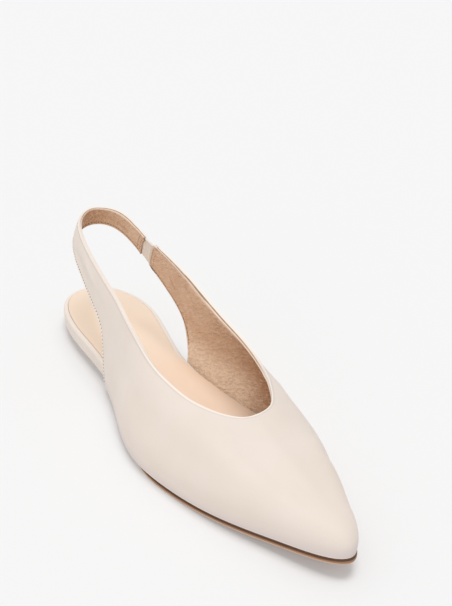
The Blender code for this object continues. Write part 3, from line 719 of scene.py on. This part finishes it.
def cut_lining(topline):
    """The lining with its turned-in rim, and its top corner at the end of the strap.

    It is trimmed back from the folds, but there it runs over the elastic, its cut edge painted dark
    brown as the shade line at the strap's end.
    """
    shape = blank("upper")
    parts = named_patches(shape)
    inside, cut_end = set(parts["inside"]), set(parts["strap_end"])
    flap = [v for v in shape.verts if not cut_end.isdisjoint(v.link_faces)
            and not inside.isdisjoint(v.link_faces)]
    ahead = sum((face.normal * face.calc_area() for face in parts["strap_end"]), Vector())
    ahead.normalize()
    flap_start = flap[0].co.copy()
    corner = max((vertex.co for vertex in flap), key=lambda co: co.z) + ahead * LINING_OVER
    for vertex in flap:
        vertex.co += ahead * (LINING_BACK + LINING_OVER)
    bmesh.ops.delete(shape, geom=[f for f in shape.faces if f not in inside], context="FACES")
    trimmed = bmesh.ops.inset_region(shape, faces=shape.faces[:], thickness=LINING_BACK,
                                     use_boundary=True, use_even_offset=True)
    bmesh.ops.delete(shape, geom=trimmed["faces"], context="FACES")
    sheet = smoothed(shape, 2)
    lay_distance(sheet, "to_topline", [topline])
    lay_distance(sheet, "to_fold", [[Vector(spot) for spot in line] for line in CREASE_SHADE_LINES])
    press_creases(sheet, CREASES)

    skin = bmesh.new()
    skin.from_mesh(sheet)
    for vertex in skin.verts:
        vertex.co += vertex.normal * LINING_PROUD
    turned = bmesh.ops.extrude_edge_only(skin, edges=[e for e in skin.edges if e.is_boundary])
    under = {g for g in turned["geom"] if isinstance(g, bmesh.types.BMVert)}
    drops = {}
    for vertex in under:
        over = next(e.other_vert(vertex) for e in vertex.link_edges
                    if e.other_vert(vertex) not in under)
        gone = over.co - flap_start
        of_flap = (gone.dot(ahead) > 0.5 * LINING_OVER and gone.length < FLAP_REACH
                   and over.co.y > 0.0)
        drops[vertex] = over.normal * (FLAP_EDGE if of_flap else LINING_TUCK)
        if of_flap:
            # the flap's cut edge takes the dark material of painted shade
            for face in vertex.link_faces:
                face.material_index = 1
    for vertex, drop in drops.items():
        vertex.co -= drop
    skin.normal_update()
    return skin, corner


def sew(rows, trees, corner):
    """Threads and pinholes, as dark beads of painted shade, along the rows, and loose ends at the
    corner of the lining.
    """
    outside, inside, ends, hole_shades = [], [], [], []
    for skin, at_elastic, line in rows:
        if at_elastic:
            margin = END_MARGIN if skin == "outside" else STITCH_MARGIN
            places = spaced(line, END_PITCH, margin, margin)
            stitch_row(outside if skin == "outside" else ends, [], trees[skin], places, THREAD_END)
            continue
        places = spaced(line, STITCH_PITCH, STITCH_MARGIN, STITCH_MARGIN)
        if skin == "outside":
            stitch_row(outside, hole_shades, trees[skin], places, THREAD_OUTSIDE)
        else:
            stitch_row(inside, hole_shades, trees[skin], places, THREAD_INSIDE)
    root = trees["inside"].find_nearest(corner)[0]
    for way in LOOSE_ENDS:
        run = Vector(way).normalized()
        ends.append(bead(root + run * LOOSE_OUT, run, Vector(LOOSE_FACING), LOOSE_END))
    for grains, name, material, slot in (
            (outside, "stitches_outside", twisted("cream_thread", CREAM_THREAD), "upper_leather"),
            (inside, "stitches_inside", twisted("tan_thread", TAN_THREAD), "sock_lining"),
            (ends, "end_stitches", twisted("brown_thread", BROWN_THREAD), "sock_lining"),
            (hole_shades, "stitch_hole_shades", shaded("pinhole", HOLE_SHADE, 0.9), "upper_leather")):
        put(as_mesh(strewn(grains), name), name, [material], slot)


def make_upper():
    """Cream leather with folded edges, its tan lining and their stitch rows."""
    leather, rows, topline = fold_leather()
    skin, corner = cut_lining(topline)
    # the lining's second material is painted shade for the flap's cut edge
    lining = put(as_mesh(skin, "upper_lining"), "upper_lining",
                 [tan_lining(), shaded("cut_edge_shade", SHADE_LINE, 0.8)], "sock_lining")
    put(leather, "upper_skin", [cream_leather("cream_leather", True)], "upper_leather", "upper")
    sew(rows, {"outside": skin_tree(leather), "inside": skin_tree(lining.data)}, corner)


def make_elastic():
    """The band, with the distance along it and up it that its weave is set out on."""
    shape = blank("elastic")
    round_folds(shape, FOLD_ANGLE, ELASTIC_ROUND)
    tape = smoothed(shape, 2)
    places = points_of(tape)
    places -= places.mean(axis=0)
    level = places[:, :2]
    _, axes = np.linalg.eigh(level.T @ level)
    lay(tape, "tape_run", level @ axes[:, -1])
    lay(tape, "tape_rise", places[:, 2].copy())
    put(tape, "elastic_tape", [elastic_weave()], "elastic_band", "elastic")


SOCK_TO_RIM = 0.22 * MM      # the sock is cut to fill its bed
SOCK_TO_LINING = 1.80 * MM   # inside the upper it runs over the board's edge to the lining
COVERED = {-1: (-0.046, -0.020), 1: (-0.038, -0.012)}  # where that starts, on each side


def spread_sock(shape):
    """Widen the sock's outline in its own plane."""
    ways = {}
    for vertex in shape.verts:
        way = sum((f.normal for f in vertex.link_faces if abs(f.normal.z) < SOCK_WALL), Vector())
        way.z = 0.0
        if way.length:
            side = -1 if vertex.co.y < 0.0 else 1
            start, end = COVERED[side]
            t = min(max((vertex.co.x - start) / (end - start), 0.0), 1.0)
            share = t * t * (3.0 - 2.0 * t)
            ways[vertex] = way.normalized() * (SOCK_TO_RIM + share * (SOCK_TO_LINING - SOCK_TO_RIM))
    for vertex, way in ways.items():
        vertex.co += way


def make_footbed():
    """The sock and the board under it, on which the sock's outline is marked."""
    shape = blank("sock")
    spread_sock(shape)
    outline = [[v.co.copy() for v in e.verts] for e in folded_edges(shape, FOLD_ANGLE)]
    round_folds(shape, FOLD_ANGLE, SOCK_ROUND)
    put(smoothed(shape, 2), "sock_sheet", [sock_leather()], "sock_lining", "sock")
    shape = blank("footbed")
    round_folds(shape, FOLD_ANGLE, FOOTBED_ROUND)
    board = smoothed(shape, 2)
    lay_distance(board, "to_sock", outline)
    put(board, "footbed_cover", [cream_leather("cream_cover", False)], "footbed_cover",
        "footbed")


def cut_groove(shape):
    """Step the upper part of a sole's edge in, all the way round, and mark how far down it is."""
    walls = [e for e in shape.edges
             if abs(e.verts[0].co.z - e.verts[1].co.z) > UPRIGHT * e.calc_length() > EDGE_HEIGHT]
    columns, found = [], KDTree(len(walls))
    for number, edge in enumerate(walls):
        top, bottom = sorted(edge.verts, key=lambda v: -v.co.z)
        way = sum((f.normal for f in top.link_faces if abs(f.normal.z) < SOLE_WALL), Vector())
        way.z = 0.0
        columns.append((top.co.copy(), bottom.co.copy(), way.normalized() * GROOVE_DEPTH))
        found.insert((top.co.x, top.co.y, 0.0), number)
    found.balance()
    bmesh.ops.subdivide_edges(shape, edges=walls, cuts=2, use_grid_fill=True)
    down = shape.verts.layers.float.new("down_the_edge")
    levels = {}
    for vertex in shape.verts:
        _, number, gap = found.find((vertex.co.x, vertex.co.y, 0.0))
        top, bottom, way = columns[number]
        if gap > MERGE or vertex.co.z < bottom.z - MERGE:
            continue
        share = (top.z - vertex.co.z) / (top.z - bottom.z)
        levels[vertex] = round(3.0 * share)
    for vertex, level in levels.items():
        _, number, _ = found.find((vertex.co.x, vertex.co.y, 0.0))
        top, bottom, way = columns[number]
        vertex[down] = (0.0, GROOVE_TOP, GROOVE_LEDGE, 1.0)[level]
        vertex.co = top.lerp(bottom, vertex[down])
        if level < 2:
            vertex.co -= way
    shape.normal_update()


def make_sole(name, node_name, slot, materials):
    """A sole layer, its corners just broken; the second material is for its tread."""
    shape = blank(node_name)
    if node_name == "outsole":
        cut_groove(shape)
    round_folds(shape, SOLE_FOLD_ANGLE, SOLE_ROUND)
    for face in shape.faces:
        face.material_index = int(face.normal.z < TREAD_FACING)
    put(smoothed(shape, 1), name, materials, slot, node_name)


# The photo's camera, fitted to points of the shoe

AZIMUTH, ELEVATION, ROLL = 60.519, 35.487, -1.422   # degrees
TARGET = (0.00735, 0.00270, 0.02500)
AWAY = 0.499845
SENSOR = 36.0
FOCAL, PHOTO_HEIGHT = 1002.7, 606.0                 # pixels
SHIFT_X, SHIFT_Y = 0.0478, 0.1399


def stand_camera():
    """The photo's angle: from the front on the outer side, looking down on the throat."""
    azimuth, elevation, roll = (math.radians(a) for a in (AZIMUTH, ELEVATION, ROLL))
    back = Vector((math.sin(azimuth) * math.cos(elevation),
                   -math.cos(azimuth) * math.cos(elevation), math.sin(elevation)))
    right = Vector((math.cos(azimuth), math.sin(azimuth), 0.0))
    up = back.cross(right)
    rolled_right = right * math.cos(roll) + up * math.sin(roll)
    rolled_up = up * math.cos(roll) - right * math.sin(roll)
    lens = bpy.data.cameras.new("photo_camera")
    lens.sensor_fit = "AUTO"
    lens.sensor_width = SENSOR
    lens.lens = SENSOR * FOCAL / PHOTO_HEIGHT
    lens.shift_x = SHIFT_X
    lens.shift_y = SHIFT_Y
    lens.clip_start = 0.01
    lens.clip_end = 20.0
    camera = added("photo_camera", lens)
    axes = Matrix((rolled_right, rolled_up, back)).transposed().to_4x4()
    camera.matrix_world = Matrix.Translation(Vector(TARGET) + back * AWAY) @ axes
    bpy.context.scene.camera = camera


SKY = 0.59           # light from all round
KEY = 1.40           # the large lamp overhead
KEY_FROM = (0.05, 0.05, 1.0)
KEY_SPREAD = 26.0    # degrees across
FILL = 0.55          # low light on the outer side, thrown back by a screen, without a shadow
FILL_FROM = (0.35, -1.0, 0.25)
FILL_SPREAD = 40.0
FLOOR_HALF = 5.0     # half its width, in metres


def light_studio():
    world = bpy.data.worlds.new("studio")
    world.use_nodes = True
    background = world.node_tree.nodes["Background"]
    background.inputs["Color"].default_value = (1.0, 1.0, 1.0, 1.0)
    background.inputs["Strength"].default_value = SKY
    bpy.context.scene.world = world
    for name, energy, spread, way, shadow in (("key", KEY, KEY_SPREAD, KEY_FROM, True),
                                              ("fill", FILL, FILL_SPREAD, FILL_FROM, False)):
        lamp = bpy.data.lights.new(name, "SUN")
        lamp.energy = energy
        lamp.angle = math.radians(spread)
        lamp.use_shadow = shadow
        added(name, lamp).rotation_euler = Vector(way).to_track_quat("Z", "Y").to_euler()
    settings = bpy.context.scene.view_settings
    settings.view_transform = "Standard"
    settings.look = "None"
    settings.exposure = 0.0
    settings.gamma = 1.0


def lay_floor():
    shape = bmesh.new()
    bmesh.ops.create_grid(shape, x_segments=1, y_segments=1, size=FLOOR_HALF)
    mesh = as_mesh(shape, "floor")
    mesh.materials.append(studio_floor())
    added("floor", mesh)


make_upper()
make_elastic()
make_footbed()
tread = sole_edge("sole_tread", False)
make_sole("outsole_sheet", "outsole", "outsole_tan", [sole_edge("sole_edge", True), tread])
make_sole("heel_lift_block", "heel_lift", "heel_lift_tan", [tread, tread])
stand_camera()
light_studio()
lay_floor()
